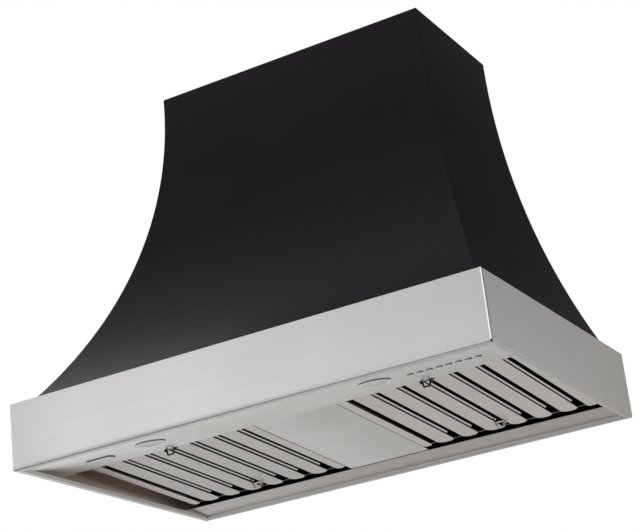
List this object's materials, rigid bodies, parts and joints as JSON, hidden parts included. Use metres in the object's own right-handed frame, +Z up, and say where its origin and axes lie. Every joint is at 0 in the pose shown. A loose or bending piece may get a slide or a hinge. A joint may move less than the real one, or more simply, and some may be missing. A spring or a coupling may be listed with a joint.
{
  "type": "wall mount range hood",
  "caption": "Swept black canopy on a brushed steel band, with baffle filters, control strip and lamps underneath and a round duct collar on top.",
  "frame": {"origin": "centre of the hood's footprint at the band's bottom rim", "axes": "+X to the right as seen from the front, +Y towards the wall, +Z up"},
  "size_m": [0.9144, 0.612, 0.797],
  "materials": {
    "black_coat": "smooth satin black",
    "brushed_stainless": "fine lengthwise brushing",
    "filter_stainless": "fine brushing along the slats",
    "blank_badge": "plain brushed plate",
    "bright_steel": "polished",
    "lamp_lens": "frosted",
    "cast_aluminium": "as cast",
    "galvanised": "galvanised, dull spangle",
    "motor_paint": "dull black",
    "black_plastic": "moulded, matt",
    "board_green": "lacquered circuit board"
  },
  "bodies": {
    "hood": {"shell_front": "black_coat", "shell_side_left": "black_coat", "shell_side_right": "black_coat", "back_panel": "black_coat", "top_plate": "black_coat", "band_front": "brushed_stainless", "band_side_left": "brushed_stainless", "band_side_right": "brushed_stainless", "band_rear": "brushed_stainless", "control_strip": "brushed_stainless", "grease_trough": "brushed_stainless", "spacer_panel": "brushed_stainless", "side_filler": "brushed_stainless", "blank_plate": "blank_badge", "lamp_left_bezel": "bright_steel", "lamp_left_lens": "lamp_lens", "lamp_left_housing": "cast_aluminium", "lamp_right_bezel": "bright_steel", "lamp_right_lens": "lamp_lens", "lamp_right_housing": "cast_aluminium", "button_housing": "black_plastic", "switch_board": "board_green", "duct_collar": "galvanised", "blower_scroll": "galvanised", "blower_side_left": "galvanised", "blower_side_right": "galvanised", "outlet_adapter": "galvanised", "motor_bracket": "galvanised", "damper_rod": "bright_steel", "band_screws": "bright_steel", "top_screws": "bright_steel", "motor": "motor_paint", "junction_box": "galvanised", "junction_box_cover": "galvanised", "cable_gland": "black_plastic", "power_box": "black_plastic"},
    "filter_left": {"filter_left_frame": "filter_stainless", "filter_left_lower_slats": "filter_stainless", "filter_left_upper_slats": "filter_stainless", "filter_left_handle_clips": "bright_steel"},
    "handle_left_front": {"filter_left_front_bail": "bright_steel"},
    "handle_left_rear": {"filter_left_rear_bail": "bright_steel"},
    "filter_right": {"filter_right_frame": "filter_stainless", "filter_right_lower_slats": "filter_stainless", "filter_right_upper_slats": "filter_stainless", "filter_right_handle_clips": "bright_steel"},
    "handle_right_front": {"filter_right_front_bail": "bright_steel"},
    "handle_right_rear": {"filter_right_rear_bail": "bright_steel"},
    "rotor": {"motor_shaft": "bright_steel", "impeller": "galvanised"},
    "damper_front": {"damper_flap_front": "galvanised"},
    "damper_rear": {"damper_flap_rear": "galvanised"},
    "push_button_1": {"button_1": "bright_steel"},
    "push_button_2": {"button_2": "bright_steel"},
    "push_button_3": {"button_3": "bright_steel"},
    "push_button_4": {"button_4": "bright_steel"},
    "push_button_5": {"button_5": "bright_steel"},
    "push_button_6": {"button_6": "bright_steel"},
    "push_button_7": {"button_7": "bright_steel"},
    "push_button_8": {"button_8": "bright_steel"}
  },
  "joints": [
    {"name": "filter_left_drop", "type": "hinge", "parent": "hood", "child": "filter_left", "pos_m": [-0.2475, 0.20372, 0.01338], "axis": [1, 0, 0], "range_deg": [0, 60]},
    {"name": "handle_left_front_swing", "type": "hinge", "parent": "filter_left", "child": "handle_left_front", "pos_m": [-0.24915, -0.12315, 0.024], "axis": [1, 0, 0], "range_deg": [-80, 80]},
    {"name": "handle_left_rear_swing", "type": "hinge", "parent": "filter_left", "child": "handle_left_rear", "pos_m": [-0.24915, 0.16902, 0.01012], "axis": [1, 0, 0], "range_deg": [-80, 80]},
    {"name": "filter_right_drop", "type": "hinge", "parent": "hood", "child": "filter_right", "pos_m": [0.2609, 0.20372, 0.01338], "axis": [1, 0, 0], "range_deg": [0, 60]},
    {"name": "handle_right_front_swing", "type": "hinge", "parent": "filter_right", "child": "handle_right_front", "pos_m": [0.25925, -0.12315, 0.024], "axis": [1, 0, 0], "range_deg": [-80, 80]},
    {"name": "handle_right_rear_swing", "type": "hinge", "parent": "filter_right", "child": "handle_right_rear", "pos_m": [0.25925, 0.16902, 0.01012], "axis": [1, 0, 0], "range_deg": [-80, 80]},
    {"name": "rotor_spin", "type": "hinge", "parent": "hood", "child": "rotor", "pos_m": [0, 0.091, 0.52], "axis": [1, 0, 0], "continuous": true},
    {"name": "damper_front_open", "type": "hinge", "parent": "hood", "child": "damper_front", "pos_m": [0, 0.1625, 0.772], "axis": [-1, 0, 0], "range_deg": [0, 80]},
    {"name": "damper_rear_open", "type": "hinge", "parent": "hood", "child": "damper_rear", "pos_m": [0, 0.1625, 0.772], "axis": [1, 0, 0], "range_deg": [0, 80]},
    {"name": "button_1_press", "type": "slide", "parent": "hood", "child": "push_button_1", "axis": [0, -0.1405, 0.9901], "range_m": [0, 0.0015], "stiffness_N_per_m": 300, "springref_m": -0.001},
    {"name": "button_2_press", "type": "slide", "parent": "hood", "child": "push_button_2", "axis": [0, -0.1405, 0.9901], "range_m": [0, 0.0015], "stiffness_N_per_m": 300, "springref_m": -0.001},
    {"name": "button_3_press", "type": "slide", "parent": "hood", "child": "push_button_3", "axis": [0, -0.1405, 0.9901], "range_m": [0, 0.0015], "stiffness_N_per_m": 300, "springref_m": -0.001},
    {"name": "button_4_press", "type": "slide", "parent": "hood", "child": "push_button_4", "axis": [0, -0.1405, 0.9901], "range_m": [0, 0.0015], "stiffness_N_per_m": 300, "springref_m": -0.001},
    {"name": "button_5_press", "type": "slide", "parent": "hood", "child": "push_button_5", "axis": [0, -0.1405, 0.9901], "range_m": [0, 0.0015], "stiffness_N_per_m": 300, "springref_m": -0.001},
    {"name": "button_6_press", "type": "slide", "parent": "hood", "child": "push_button_6", "axis": [0, -0.1405, 0.9901], "range_m": [0, 0.0015], "stiffness_N_per_m": 300, "springref_m": -0.001},
    {"name": "button_7_press", "type": "slide", "parent": "hood", "child": "push_button_7", "axis": [0, -0.1405, 0.9901], "range_m": [0, 0.0015], "stiffness_N_per_m": 300, "springref_m": -0.001},
    {"name": "button_8_press", "type": "slide", "parent": "hood", "child": "push_button_8", "axis": [0, -0.1405, 0.9901], "range_m": [0, 0.0015], "stiffness_N_per_m": 300, "springref_m": -0.001}
  ]
}
